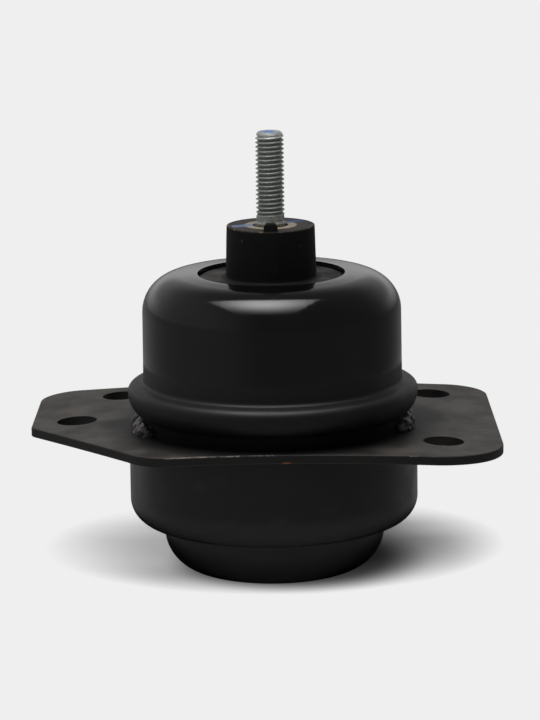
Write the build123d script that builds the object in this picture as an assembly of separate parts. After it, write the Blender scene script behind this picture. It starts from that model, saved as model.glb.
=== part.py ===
from build123d import *
import os
from math import asin, cos, radians, sin, tan

# A hydraulic engine mount. The origin is the middle of the bottom cup's flat base, +Z runs up the
# stud, -Y is the side with the plate's long straight edge. All sizes are in millimetres.

# Stud
stud_d = 10.0
stud_reach = 32.3
stud_thread_length = 28.4
stud_tip_chamfer = 1.2
stud_collar_step = 0.2
stud_flare = 0.6
stud_flare_height = 2.2
stud_shank_step = 0.5
stud_shank_length = 24.0

# Inner core, the metal boss that the rubber is bonded to
core_d = 27.0
core_shoulder = 4.5
core_shoulder_height = 3.5
core_taper_height = 19.3
core_foot_step = 1.5
core_foot_round = 4.0
recess_gap = 0.65
recess_depth = 1.2

# Rubber skin and stop pad moulded round the core
skin_thickness = 1.65
skin_draft = 0.45
boss_rise = 16.55
boss_foot_round = 1.5
pad_side_gap = 8.7
pad_step_gap = 0.8
pad_below_rim = 1.3
pad_clearance = 0.3
pad_over_plate = 4.5
pad_under_plate = 1.2
pad_lip_width = 6.0
pad_edge_round = 2.0
tab_width = 4.8
tab_depth = 3.0
tab_height = 2.8
tab_corner = 0.9

# Rebound plate inside the stop pad
rebound_plate_inset = 2.5
rebound_plate_thickness = 3.0
keying_hole_d = 5.0
keying_hole_count = 6

# Upper can, pressed from one sheet and curled under at its foot
can_d = 89.4
can_draft = 0.2
can_wall = 1.8
can_height = 48.2
can_crown = 0.8
can_shoulder_round = 12.8
can_roof_width = 19.1
bead_proud = 5.35
bead_round = 2.6
bead_straight = 0.4
bead_ledge_angle = 13.0
bead_foot_round = 1.5
curl_slope = 35.0
curl_flat = 0.1
curl_clearance = 0.1

# Support ring of the rubber spring, held by its flange in the bead
ring_gap = 0.4
ring_taper = 2.3
ring_wall = 2.0
ring_height = 16.6
ring_flange = 3.4

# Rubber spring
spring_under_core = 3.0
spring_throat_step = 2.5
spring_mouth_wall = 4.0
spring_lip = 1.0
spring_sag = 4.0
spring_inner_rise = 2.0

# Collar that joins the can to the plate
collar_step = 0.5
collar_wall = 2.6
collar_flange = 2.5
collar_height = 4.5

# Weld beads between the collar and the plate, angles from +X
weld_leg = 3.4
right_weld_start_angle = -16.0
right_weld_end_angle = 22.0
left_weld_start_angle = 174.0
left_weld_end_angle = 208.0

# Flange plate, bowed downwards to both sides
plate_thickness = 3.2
plate_droop = 2.6
plate_droop_span = 158.0
plate_front = 50.6
plate_back = 65.6
plate_right_front = 78.7
plate_right_back = 76.4
plate_left_front = 84.4
plate_left_back = 82.8
plate_cut_height = 8.6
plate_cut_foot = 42.7
plate_round_right_front = 25.0
plate_round_left_front = 16.0
plate_round_left_side = 6.0
plate_round_back = 14.0
plate_edge_round = 0.5
plate_lip = 2.6
bolt_hole_d = 14.0
bolt_holes = [(57.8, -27.1), (56.3, 48.5), (-53.9, 51.6), (-68.6, 14.8)]

# Lower sleeve, open at the top and turned in at the bottom
sleeve_step = 5.1
sleeve_wall = 2.0
sleeve_round = 8.4
pack_clearance = 0.3
cup_clearance = 0.3

# Bottom cup
cup_step = 11.7
cup_wall = 1.5
cup_reach = 17.0
cup_round = 14.0

# Rubber bellows and the hoop round its rim
bellows_rim_height = 7.5
bellows_rim_width = 5.95
bellows_wall = 1.6
bellows_cup_gap = 3.6
bellows_roll_round = 5.0
bellows_roll_width = 11.0
bellows_roll_depth = 17.0
bellows_crown_drop = 4.5
bellows_bend = 2.0
hoop_wall = 1.5
hoop_height = 2.0

# Track pack: a cast body with a ring channel, closed by a cover from below
cover_thickness = 1.5
track_height = 16.3
track_rim = 4.45
seal_thickness = 2.0
seal_inset = 0.5
channel_width = 10.0
channel_roof = 3.3
channel_start_angle = 20.0
channel_arc_angle = 310.0
port_d = 6.0
port_wall = 1.0
port_inset_angle = 10.0
dish_rim = 4.0
dish_depth = 4.0
chamber_wall = 7.0
chamber_roof = 4.8
chamber_ledge = 4.0
grid_thickness = 1.5
grid_hole_d = 5.0
grid_edge = 4.0
inner_hole_count = 6
outer_hole_count = 12
decoupler_gap = 0.6
decoupler_clearance = 0.5
decoupler_rib = 0.8
rivet_d = 3.2
rivet_head_d = 6.0
rivet_head_height = 0.8
rivet_length = 8.0
rivet_count = 4

# Cutters reach this far past what they cut, and blanks this far past their trimming
overrun = 1.0
margin = 10.0

# Lines of a sheet's outline that are shorter than this are left out
shortest_line = 0.001

# Heights that follow, measured up from the base
lip_top = cup_reach + sleeve_wall
rim_bottom = lip_top + cup_wall
cover_bottom = rim_bottom + bellows_rim_height
track_bottom = cover_bottom + cover_thickness
track_top = track_bottom + track_height
plate_bottom = track_top + seal_thickness
plate_top = plate_bottom + plate_thickness
bead_bottom = plate_top + collar_height
curl_floor = bead_bottom + can_wall * cos(radians(curl_slope))
collar_top = curl_floor + collar_flange
ring_bottom = collar_top + spring_lip
ring_top = ring_bottom + ring_height
can_rim = bead_bottom + can_height
boss_top = can_rim + boss_rise
pad_step_top = can_rim - pad_below_rim
pad_top = can_rim - can_crown - can_wall - pad_clearance
rebound_top = pad_top - pad_over_plate
rebound_bottom = rebound_top - rebound_plate_thickness
shoulder_foot = rebound_bottom - core_shoulder_height
core_bottom = shoulder_foot - core_taper_height
spring_bottom = core_bottom - spring_under_core

# Radii that follow, from the stud outwards
stud_r = stud_d / 2
stud_collar_r = stud_r - stud_collar_step
stud_flare_r = stud_collar_r + stud_flare
stud_shank_r = stud_r + stud_shank_step
recess_r = stud_flare_r + recess_gap
core_r = core_d / 2
core_shoulder_r = core_r + core_shoulder
core_foot_r = core_r - core_foot_step
boss_r = core_r + skin_thickness
can_r = can_d / 2
can_top_r = can_r - can_draft
can_opening_r = can_top_r - can_roof_width
pad_step_r = can_opening_r - pad_step_gap
pad_r = can_top_r - can_wall - pad_side_gap
pad_lip_r = pad_r - pad_lip_width
bead_r = can_r + bead_proud
collar_r = can_r + collar_step
collar_bore_r = collar_r - collar_wall
plate_bore_r = collar_bore_r - plate_lip
ring_top_r = can_top_r - can_wall - ring_gap
ring_foot_r = ring_top_r - ring_taper
spring_throat_r = core_foot_r - spring_throat_step
spring_mouth_r = ring_foot_r - ring_wall - spring_mouth_wall

# Rounds and drops that follow, for the bead
curl_end_r = collar_r + curl_clearance + can_wall * sin(radians(curl_slope))
curl_reach = bead_r - curl_end_r
curl_corner = bead_bottom + curl_reach * tan(radians(curl_slope))
curl_side = curl_reach / cos(radians(curl_slope)) - curl_flat
curl_round = curl_side / tan(radians((90 - curl_slope) / 2))
ledge_drop = bead_proud * tan(radians(bead_ledge_angle))
bead_corner = bead_round * tan(radians((90 - bead_ledge_angle) / 2))
can_foot = curl_corner + curl_side + bead_straight + bead_corner + ledge_drop

# Radii and rounds that follow, below the plate
sleeve_r = can_r + sleeve_step
pack_r = sleeve_r - sleeve_wall - pack_clearance
cup_r = sleeve_r - cup_step
seat_round = sleeve_round - sleeve_wall
rim_r = pack_r - cup_wall
rim_round = seat_round - cup_wall
rim_bore_r = rim_r - bellows_rim_width
roll_r = cup_r - cup_wall - bellows_cup_gap
channel_outer_r = pack_r - track_rim
channel_inner_r = channel_outer_r - channel_width
channel_depth = track_height - dish_depth - channel_roof
dish_r = channel_outer_r - dish_rim
chamber_r = channel_inner_r - chamber_wall
chamber_top = track_top - dish_depth - chamber_roof
window_r = chamber_r - chamber_ledge
rivet_circle_r = (chamber_r + channel_inner_r) / 2
outer_holes_r = window_r - grid_edge - grid_hole_d / 2
inner_holes_r = outer_holes_r / 2
decoupler_r = chamber_r - decoupler_clearance


def outline(*points):
    """A closed face from (radius, height) corners."""
    return make_face(Polyline(*points, close=True))


def turned(section):
    """The solid that a section of (radius, height) sweeps round the stud's axis."""
    return revolve(Plane.XZ * section, Axis.Z)


def pressed(path, wall):
    """A turned sheet of even thickness that lies inside the path of its shown surface."""
    lines = path.offset_2d(wall, side=Side.RIGHT, closed=True).edges()
    return turned(make_face(Wire([line for line in lines if line.length > shortest_line])))


def disc(radius, bottom, top):
    """A round block on the stud's axis."""
    return Pos(0, 0, (bottom + top) / 2) * Cylinder(radius, top - bottom)


def ring(outer, inner, bottom, top):
    """A flat ring on the stud's axis, from its two radii and its two heights."""
    return disc(outer, bottom, top) - disc(inner, bottom - overrun, top + overrun)


def around(count, radius, shape):
    """Copies of a shape evenly spaced on a circle."""
    return [copy for copy in PolarLocations(radius, count) * shape]


def bow_radius():
    """Radius of the bow of the plate's top face."""
    half = plate_droop_span / 2
    return (half ** 2 + plate_droop ** 2) / (2 * plate_droop)


def bowed_slab(thickness):
    """A slab under the plate's bowed top face, larger than the plate on every side."""
    centre = plate_top - bow_radius()
    reach = asin((max(plate_left_front, plate_right_front) + margin) / bow_radius())
    arcs = []
    for r in (bow_radius(), bow_radius() - thickness):
        left = (-r * sin(reach), centre + r * cos(reach))
        right = (r * sin(reach), centre + r * cos(reach))
        arcs.append(ThreePointArc(left, (0, centre + r), right))
    sides = [Line(arcs[0] @ 0, arcs[1] @ 0), Line(arcs[0] @ 1, arcs[1] @ 1)]
    section = Plane.XZ * make_face(arcs + sides)
    return extrude(section, amount=max(plate_front, plate_back) + margin, both=True)


def on_bow(x, y):
    """The plane that touches the plate's top above a point, its normal square to the bow there."""
    lean = asin(x / bow_radius())
    centre = plate_top - bow_radius()
    origin = (x, y, centre + bow_radius() * cos(lean))
    return Plane(origin=origin, x_dir=(cos(lean), 0, -sin(lean)), z_dir=(sin(lean), 0, cos(lean)))


def stud():
    """Threaded stud with a plain collar that flares into the core's recess, and a pressed-in shank."""
    thread_start = stud_reach - stud_thread_length
    shank_foot = -recess_depth - stud_shank_length
    section = outline(
        (0, shank_foot),
        (stud_shank_r, shank_foot),
        (stud_shank_r, -recess_depth),
        (stud_flare_r, -recess_depth),
        (stud_flare_r, 0),
        (stud_collar_r, stud_flare_height),
        (stud_collar_r, thread_start),
        (stud_r, thread_start),
        (stud_r, stud_reach - stud_tip_chamfer),
        (stud_r - stud_tip_chamfer, stud_reach),
        (0, stud_reach),
    )
    return Pos(0, 0, boss_top) * turned(section)


def inner_core():
    """Turned core: a boss, a shoulder for the rebound plate and a tapered foot for the rubber."""
    path = FilletPolyline(
        (0, boss_top),
        (core_r, boss_top),
        (core_r, rebound_bottom),
        (core_shoulder_r, rebound_bottom),
        (core_shoulder_r, shoulder_foot),
        (core_foot_r, core_bottom),
        (0, core_bottom),
        radius=[0, 0, 0, 0, core_foot_round],
    )
    body = turned(make_face([path, Line((0, core_bottom), (0, boss_top))]))
    recess = disc(recess_r, boss_top - recess_depth, boss_top + overrun)
    bore = disc(stud_shank_r, boss_top - recess_depth - stud_shank_length, boss_top)
    return body - recess - bore


def rebound_plate():
    """Steel washer seated on the core's shoulder, with holes that key the pad to it."""
    washer = ring(pad_r - rebound_plate_inset, core_r, rebound_bottom, rebound_top)
    hole = disc(keying_hole_d / 2, rebound_bottom - overrun, rebound_top + overrun)
    return washer - around(keying_hole_count, (core_shoulder_r + pad_lip_r) / 2, hole)


def locating_tab():
    """Block with two cut corners that stands on the boss's front rim."""
    half = tab_width / 2
    face = outline(
        (-half, -overrun),
        (half, -overrun),
        (half, tab_height - tab_corner),
        (half - tab_corner, tab_height),
        (tab_corner - half, tab_height),
        (-half, tab_height - tab_corner),
    )
    bar = extrude(Pos(0, tab_depth - boss_r, boss_top) * (Plane.XZ * face), amount=tab_depth + overrun)
    return bar & disc(boss_r, boss_top - overrun, boss_top + tab_height)


def stop_rubber():
    """Skin round the boss, stop pad under the can's roof and the locating tab, moulded as one."""
    pad_foot = rebound_bottom - pad_under_plate
    path = FilletPolyline(
        (core_r, boss_top),
        (boss_r, boss_top),
        (boss_r + skin_draft, pad_step_top),
        (pad_step_r, pad_step_top),
        (pad_step_r, pad_top),
        (pad_r, pad_top),
        (pad_r, pad_foot),
        (pad_lip_r, pad_foot),
        (pad_lip_r, rebound_bottom),
        (core_r, rebound_bottom),
        radius=[0, boss_foot_round, 0, 0, pad_edge_round, pad_under_plate / 2, 0, 0],
    )
    section = make_face([path, Line((core_r, rebound_bottom), (core_r, boss_top))])
    return turned(section) + locating_tab() - rebound_plate() - inner_core()


def can_path():
    """Outer line of the can from its opening over the shoulder and down round the bead."""
    return FilletPolyline(
        (can_opening_r, can_rim),
        (can_top_r, can_rim - can_crown),
        (can_r, can_foot),
        (bead_r, can_foot - ledge_drop),
        (bead_r, curl_corner),
        (curl_end_r, bead_bottom),
        radius=[can_shoulder_round, bead_foot_round, bead_round, curl_round],
    )


def upper_can():
    """Pressed can: open roof, round shoulder, wall, sloped ledge and the bead curled under."""
    return pressed(can_path(), can_wall)


def can_inside():
    """The space that the can's sheet encloses, which trims what is crimped in the bead."""
    path = can_path()
    edge = Polyline(
        (curl_end_r, bead_bottom),
        (0, bead_bottom),
        (0, can_rim),
        (can_opening_r, can_rim),
    )
    return turned(make_face([path, edge])) - upper_can()


def support_ring():
    """Steel ring that the rubber spring is bonded to, its flange trimmed to the bead's inside."""
    cone = turned(outline(
        (ring_foot_r - ring_wall, ring_bottom),
        (ring_foot_r, ring_bottom),
        (ring_top_r, ring_top),
        (ring_top_r - ring_wall, ring_top),
    ))
    flange = ring(bead_r, ring_foot_r - ring_wall / 2, ring_bottom, ring_bottom + ring_flange)
    return cone + (flange & can_inside())


def main_rubber():
    """Cone of rubber from the core's foot to the support ring, with a sealing lip under its flange."""
    outer_top = shoulder_foot + core_shoulder_height / 2
    outer_foot_r = ring_top_r - ring_wall
    outer_middle = ((core_shoulder_r + outer_foot_r) / 2, (outer_top + ring_top) / 2 - spring_sag)
    inner_middle = (
        (spring_throat_r + spring_mouth_r) / 2,
        (spring_bottom + collar_top) / 2 + spring_inner_rise,
    )
    section = make_face([
        Line((0, outer_top), (core_shoulder_r, outer_top)),
        ThreePointArc((core_shoulder_r, outer_top), outer_middle, (outer_foot_r, ring_top)),
        Polyline(
            (outer_foot_r, ring_top),
            (ring_top_r, ring_top),
            (ring_foot_r, ring_bottom),
            (bead_r, ring_bottom),
            (bead_r, collar_top),
            (spring_mouth_r, collar_top),
        ),
        ThreePointArc((spring_mouth_r, collar_top), inner_middle, (spring_throat_r, spring_bottom)),
        Polyline((spring_throat_r, spring_bottom), (0, spring_bottom), (0, outer_top)),
    ])
    return (turned(section) & can_inside()) - inner_core() - support_ring()


def base_collar():
    """Collar welded to the plate, its top flared out and held in the can's curl."""
    wall = ring(collar_r, collar_bore_r, plate_bottom + plate_thickness / 2, collar_top)
    flange = ring(bead_r, collar_bore_r, curl_floor, collar_top)
    return wall - bowed_slab(plate_thickness) + (flange & can_inside())


def collar_weld(start, end):
    """A short weld bead with rounded ends in the corner between collar and plate."""
    corner = ring(collar_r + margin, collar_r, plate_top - margin, bead_bottom) - bowed_slab(margin)
    line = Plane.XZ * (Pos(collar_r, plate_top) * Circle(weld_leg))
    bead = Rot(0, 0, start) * revolve(line, Axis.Z, revolution_arc=end - start) & corner
    for angle in (start, end):
        tip = Rot(0, 0, angle) * (Pos(collar_r, 0, plate_top) * Sphere(weld_leg))
        bead += tip & corner
    return bead


def collar_welds():
    """The two weld beads that show, one at each side."""
    right = collar_weld(right_weld_start_angle, right_weld_end_angle)
    left = collar_weld(left_weld_start_angle, left_weld_end_angle)
    return Compound(children=[right, left])


def flange_plate():
    """Blanked plate with four bolt holes and a round opening, bowed down to both sides."""
    path = FilletPolyline(
        (-plate_cut_foot, -plate_front),
        (plate_right_front, -plate_front),
        (plate_right_back, plate_back),
        (-plate_left_back, plate_back),
        (-plate_left_front, plate_cut_height),
        radius=[
            plate_round_left_front,
            plate_round_right_front,
            plate_round_back,
            plate_round_back,
            plate_round_left_side,
        ],
        close=True,
    )
    blank = extrude(make_face(path), amount=plate_top + margin)
    plate = blank & bowed_slab(plate_thickness)
    plate -= disc(plate_bore_r, plate_bottom - margin, plate_top + margin)
    for x, y in bolt_holes:
        plate -= on_bow(x, y) * Cylinder(bolt_hole_d / 2, 2 * margin)
    edges = []
    for face in plate.faces().sort_by(SortBy.AREA)[-2:]:
        edges += face.outer_wire().edges()
    return fillet(edges, plate_edge_round)


def plate_seal():
    """Rubber seal ring squeezed between the track pack and the plate's bowed underside."""
    band = ring(pack_r, plate_bore_r + seal_inset, track_top, plate_bottom + plate_thickness / 2)
    return band - bowed_slab(plate_thickness)


def lower_sleeve():
    """Drawn sleeve under the plate, its foot turned in to hold the pack and the cup."""
    path = FilletPolyline(
        (sleeve_r, plate_bottom + plate_thickness / 2),
        (sleeve_r, cup_reach),
        (cup_r + cup_clearance, cup_reach),
        radius=sleeve_round,
    )
    return pressed(path, sleeve_wall) - bowed_slab(plate_thickness)


def bottom_cup():
    """Pressed cup under the bellows, its flange lying on the sleeve's lip and turned up to the cover."""
    path = FilletPolyline(
        (pack_r, cover_bottom),
        (pack_r, lip_top),
        (cup_r, lip_top),
        (cup_r, 0),
        (0, 0),
        radius=[seat_round, 0, cup_round],
    )
    return pressed(path, cup_wall)


def bellows_hoop():
    """Steel hoop round the top of the bellows' rim."""
    return ring(rim_r, rim_r - hoop_wall, cover_bottom - hoop_height, cover_bottom)


def bellows():
    """Rolling rubber bellows with a thick rim, hanging into the cup."""
    top = cover_bottom - bellows_rim_height / 2
    crown_r = roll_r - bellows_roll_width
    path = FilletPolyline(
        (rim_bore_r + overrun, top),
        (roll_r, top),
        (roll_r, top - bellows_roll_depth),
        (crown_r, top - bellows_roll_depth),
        (crown_r, top - bellows_crown_drop),
        (0, top - bellows_crown_drop),
        radius=[bellows_bend, bellows_roll_round, bellows_roll_round, bellows_bend],
    )
    membrane = turned(make_face(path.offset_2d(bellows_wall, side=Side.LEFT, closed=True)))
    rim = turned(make_face(FilletPolyline(
        (rim_bore_r, rim_bottom),
        (rim_r, rim_bottom),
        (rim_r, cover_bottom),
        (rim_bore_r, cover_bottom),
        radius=[0, rim_round, 0, 0],
        close=True,
    )))
    return membrane + rim - bellows_hoop()


def grid_holes(bottom, top):
    """The hole pattern shared by the two grids that the decoupler lies between."""
    hole = disc(grid_hole_d / 2, bottom, top)
    inner = around(inner_hole_count, inner_holes_r, hole)
    outer = around(outer_hole_count, outer_holes_r, hole)
    return [hole] + inner + outer


def rivet_places(shape):
    """Copies of a shape at the rivets."""
    return around(rivet_count, rivet_circle_r, shape)


def port(angle, bottom, top):
    """A port's cutter, placed so that it opens inside the wall of the dish."""
    return Rot(0, 0, angle) * (Pos(dish_r - port_wall - port_d / 2, 0, 0) * disc(port_d / 2, bottom, top))


def track_body():
    """Cast body: a ring channel open downwards, a port up at its start and the decoupler's chamber."""
    body = disc(pack_r, track_bottom, track_top)
    body -= disc(dish_r, track_top - dish_depth, track_top + overrun)
    body -= disc(chamber_r, track_bottom - overrun, chamber_top)
    body -= disc(window_r, track_bottom, track_top)
    section = outline(
        (channel_inner_r, track_bottom - overrun),
        (channel_outer_r, track_bottom - overrun),
        (channel_outer_r, track_bottom + channel_depth),
        (channel_inner_r, track_bottom + channel_depth),
    )
    channel = revolve(Plane.XZ * section, Axis.Z, revolution_arc=channel_arc_angle)
    body -= Rot(0, 0, channel_start_angle) * channel
    body -= port(channel_start_angle + port_inset_angle, track_bottom + channel_depth / 2, track_top)
    return body - rivet_places(disc(rivet_d / 2, track_bottom - overrun, track_bottom + rivet_length))


def upper_grid():
    """Steel grid pressed against the roof of the decoupler's chamber."""
    plate = disc(chamber_r, chamber_top - grid_thickness, chamber_top)
    return plate - grid_holes(chamber_top - grid_thickness - overrun, chamber_top + overrun)


def decoupler_disc():
    """Loose rubber disc with raised ribs that flutters between the two grids."""
    top = chamber_top - grid_thickness - decoupler_gap
    core = disc(decoupler_r, track_bottom + decoupler_rib, top - decoupler_rib)
    rib_places = [
        inner_holes_r / 2,
        (inner_holes_r + outer_holes_r) / 2,
        (outer_holes_r + decoupler_r) / 2,
    ]
    for radius in rib_places:
        core += ring(radius + decoupler_rib, radius - decoupler_rib, track_bottom, top)
    return core


def track_cover():
    """Steel cover that closes the channel from below, with the lower grid and the lower port."""
    foot = cover_bottom - overrun
    head = track_bottom + overrun
    cover = disc(pack_r, cover_bottom, track_bottom)
    cover -= grid_holes(foot, head)
    cover -= port(channel_start_angle + channel_arc_angle - port_inset_angle, foot, head)
    return cover - rivet_places(disc(rivet_d / 2, foot, head))


def track_rivets():
    """Four rivets driven up through the cover into the body."""
    rivet = disc(rivet_d / 2, cover_bottom, track_bottom + rivet_length)
    rivet += disc(rivet_head_d / 2, cover_bottom - rivet_head_height, cover_bottom)
    return Compound(children=rivet_places(rivet))


nodes = {
    "stud": stud(),
    "inner_core": inner_core(),
    "rebound_plate": rebound_plate(),
    "stop_rubber": stop_rubber(),
    "main_rubber": main_rubber(),
    "support_ring": support_ring(),
    "upper_can": upper_can(),
    "base_collar": base_collar(),
    "collar_welds": collar_welds(),
    "flange_plate": flange_plate(),
    "plate_seal": plate_seal(),
    "lower_sleeve": lower_sleeve(),
    "bottom_cup": bottom_cup(),
    "bellows": bellows(),
    "bellows_hoop": bellows_hoop(),
    "track_body": track_body(),
    "upper_grid": upper_grid(),
    "decoupler_disc": decoupler_disc(),
    "track_cover": track_cover(),
    "track_rivets": track_rivets(),
}

os.makedirs("parts", exist_ok=True)
for name, shape in nodes.items():
    export_step(shape, f"parts/{name}.step")
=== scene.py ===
from math import atan2, cos, degrees, floor, hypot, pi, radians, sin

import bpy
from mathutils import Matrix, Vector, noise


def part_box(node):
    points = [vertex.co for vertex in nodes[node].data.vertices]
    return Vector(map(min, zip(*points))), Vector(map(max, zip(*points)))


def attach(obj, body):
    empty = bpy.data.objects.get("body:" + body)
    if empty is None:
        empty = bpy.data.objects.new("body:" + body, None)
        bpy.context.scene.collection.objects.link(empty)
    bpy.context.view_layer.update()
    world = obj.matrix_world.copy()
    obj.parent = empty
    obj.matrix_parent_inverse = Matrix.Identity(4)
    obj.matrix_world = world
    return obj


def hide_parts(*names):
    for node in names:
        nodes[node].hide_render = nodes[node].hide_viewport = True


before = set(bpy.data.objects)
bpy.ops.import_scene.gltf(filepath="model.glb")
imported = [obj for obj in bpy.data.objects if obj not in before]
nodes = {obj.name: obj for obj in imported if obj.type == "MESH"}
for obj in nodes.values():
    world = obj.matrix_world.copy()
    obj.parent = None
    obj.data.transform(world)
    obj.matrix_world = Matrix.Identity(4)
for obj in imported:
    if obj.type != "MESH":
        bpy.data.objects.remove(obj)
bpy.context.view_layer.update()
mm = 0.001


# The camera. The mount was photographed from 1.4 m away with a long lens, from a little above,
# and the picture leans by less than one degree.
camera_place = (-0.00082, -1.4, 0.3669)
camera_pitch = 0.207
camera_roll = -0.0138
camera_lens = 207.3
camera_sensor = 36
camera_far = 30

camera = bpy.data.objects.new("camera", bpy.data.cameras.new("camera"))
camera.data.lens = camera_lens
camera.data.sensor_width = camera_sensor
camera.data.clip_end = camera_far
camera.location = camera_place
camera.rotation_mode = "ZYX"
camera.rotation_euler = (pi / 2 - camera_pitch, 0, camera_roll)
bpy.context.scene.collection.objects.link(camera)
bpy.context.scene.camera = camera
bpy.context.scene.view_settings.view_transform = "Standard"


# The table and the room: a pale sweep under the mount, one large softbox overhead that is brightest in
# its middle, and a room that is lighter behind and to the left. Nothing of it belongs to the mount.
backdrop = "EFEFEF"
floor_size = 12
floor_drop = 0.05 * mm
softbox_place = (-0.165, -0.465, 1.7)
softbox_size = (1.57, 1.67)
softbox_power = 64.0
softbox_middle = (-0.1, -0.13, 1.7)
softbox_fade = 0.2
room_front = 0.125
room_back = 0.27
room_left = 0.2
room_window = 0.5
floor_gloss_front = 0.22
floor_gloss_back = 0.21
floor_gloss_far = 0.27
floor_gloss_left = 0.1
shadow_reach = (82 * mm, 70 * mm, 1.0)
shadow_middle = 30 * mm
shadow_core = 0.4
shadow_left = 0.36
shadow_left_start, shadow_left_end = -15 * mm, -40 * mm
shadow_back_start, shadow_back_end = -20 * mm, 8 * mm
contact_middle = (8 * mm, 7 * mm, 0)
contact_dark = 0.17
contact_start, contact_end = 28 * mm, 49 * mm
mirror_start, mirror_end = 0.8, 1.35
far_start, far_end = 0.13, 0.4
horizon_low, horizon_high = -0.05, 0.24
window_low, window_high = 0.1, 0.36


def colour(code):
    """An sRGB hex code as the linear colour that a shader takes."""
    parts = [int(code[i:i + 2], 16) / 255 for i in (0, 2, 4)]
    return [c / 12.92 if c <= 0.04045 else ((c + 0.055) / 1.055) ** 2.4 for c in parts] + [1.0]


def add(tree, kind, sockets=None, **settings):
    """A new node. The settings are its properties, and each socket takes a value or another node's output."""
    made = tree.nodes.new(kind)
    for name, value in settings.items():
        setattr(made, name, value)
    for name, value in (sockets or {}).items():
        if isinstance(value, bpy.types.NodeSocket):
            tree.links.new(value, made.inputs[name])
        else:
            made.inputs[name].default_value = value
    return made


bpy.ops.object.select_all(action="DESELECT")
bpy.ops.mesh.primitive_plane_add(size=floor_size, location=(0, 0, -floor_drop))
floor_sheet = bpy.context.object
floor_sheet.name = "floor"

# White paper. Seen straight on it is even, but for the soft shadow and a painted contact shadow under the cup.
# The paint mirrors it lightest just behind the mount, and dimmer further out, less so on the left.
material = bpy.data.materials.new("paper sweep")
material.use_nodes = True
tree = material.node_tree
tree.nodes.clear()
place = add(tree, "ShaderNodeTexCoord").outputs["Object"]
spot = add(tree, "ShaderNodeSeparateXYZ", {0: place})
moved = add(tree, "ShaderNodeVectorMath", {0: place, 1: (0, -shadow_middle, 0)}, operation="ADD").outputs[0]
moved = add(tree, "ShaderNodeVectorMath", {0: moved, 1: shadow_reach}, operation="DIVIDE").outputs[0]
reach = add(tree, "ShaderNodeVectorMath", {0: moved}, operation="LENGTH").outputs["Value"]
outer = add(tree, "ShaderNodeMapRange", {"Value": reach, "From Min": shadow_core, "From Max": 1.0}).outputs[0]
outer = add(tree, "ShaderNodeMath", {0: outer, 1: outer}, operation="MULTIPLY").outputs[0]
to_left = add(tree, "ShaderNodeMapRange", {
    "Value": spot.outputs["X"], "From Min": shadow_left_start, "From Max": shadow_left_end,
    "To Max": shadow_left,
}, interpolation_type="SMOOTHSTEP").outputs[0]
to_back = add(tree, "ShaderNodeMapRange", {
    "Value": spot.outputs["Y"], "From Min": shadow_back_start, "From Max": shadow_back_end,
}, interpolation_type="SMOOTHSTEP").outputs[0]
thinned = add(tree, "ShaderNodeMath", {0: to_left, 1: to_back}, operation="MULTIPLY").outputs[0]
thinned = add(tree, "ShaderNodeMath", {0: 1.0, 1: thinned}, operation="SUBTRACT").outputs[0]
inner = add(tree, "ShaderNodeMath", {0: 1.0, 1: outer}, operation="SUBTRACT").outputs[0]
shaded = add(tree, "ShaderNodeMath", {0: inner, 1: thinned}, operation="MULTIPLY").outputs[0]
ray = add(tree, "ShaderNodeLightPath")
# A painted contact shadow: the paper's colour darkens towards black round the foot of the cup.
painted_contact_shadow = add(tree, "ShaderNodeVectorMath", {
    0: place, 1: contact_middle,
}, operation="DISTANCE").outputs["Value"]
painted_contact_shadow = add(tree, "ShaderNodeMapRange", {
    "Value": painted_contact_shadow, "From Min": contact_start, "From Max": contact_end, "To Min": contact_dark,
}, interpolation_type="SMOOTHSTEP").outputs[0]
paper = add(tree, "ShaderNodeMix", {
    0: painted_contact_shadow, 6: (0, 0, 0, 1), 7: colour(backdrop),
}, data_type="RGBA").outputs[2]
lit = add(tree, "ShaderNodeBsdfDiffuse", {"Color": paper}).outputs[0]
plain = add(tree, "ShaderNodeEmission", {"Color": paper}).outputs[0]
seen = add(tree, "ShaderNodeMixShader", {0: shaded, 1: plain, 2: lit}).outputs[0]
not_glossy = add(tree, "ShaderNodeMixShader", {0: ray.outputs["Is Camera Ray"], 1: lit, 2: seen}).outputs[0]
# A painted shadow in the reflections: the floor's glow that the paint mirrors fades out near the mount.
painted_reflected_shadow = add(tree, "ShaderNodeMapRange", {
    "Value": reach, "From Min": mirror_start, "From Max": mirror_end,
}).outputs[0]
distance = add(tree, "ShaderNodeVectorMath", {0: place}, operation="LENGTH").outputs["Value"]
backward = add(tree, "ShaderNodeMath", {0: spot.outputs["Y"], 1: distance}, operation="DIVIDE").outputs[0]
gleam = add(tree, "ShaderNodeMapRange", {
    "Value": backward, "From Min": -0.2, "From Max": 0.9, "To Max": floor_gloss_back,
}, interpolation_type="SMOOTHSTEP").outputs[0]
distant = add(tree, "ShaderNodeMapRange", {
    "Value": distance, "From Min": far_start, "From Max": far_end,
}).outputs[0]
fading = add(tree, "ShaderNodeMapRange", {
    "Value": backward, "From Min": -0.3, "From Max": 0.7,
    "To Min": floor_gloss_front / 3, "To Max": floor_gloss_far,
}, interpolation_type="SMOOTHSTEP").outputs[0]
leftward = add(tree, "ShaderNodeMath", {0: spot.outputs["X"], 1: distance}, operation="DIVIDE").outputs[0]
leftward = add(tree, "ShaderNodeMapRange", {
    "Value": leftward, "From Min": -0.1, "From Max": -0.8, "To Max": floor_gloss_left,
}, interpolation_type="SMOOTHSTEP").outputs[0]
fading = add(tree, "ShaderNodeMath", {0: fading, 1: leftward}, operation="SUBTRACT").outputs[0]
distant = add(tree, "ShaderNodeMath", {0: distant, 1: fading}, operation="MULTIPLY").outputs[0]
gleam = add(tree, "ShaderNodeMath", {0: gleam, 1: distant}, operation="SUBTRACT").outputs[0]
gleam = add(tree, "ShaderNodeMath", {0: gleam, 1: floor_gloss_front}, operation="ADD").outputs[0]
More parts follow.
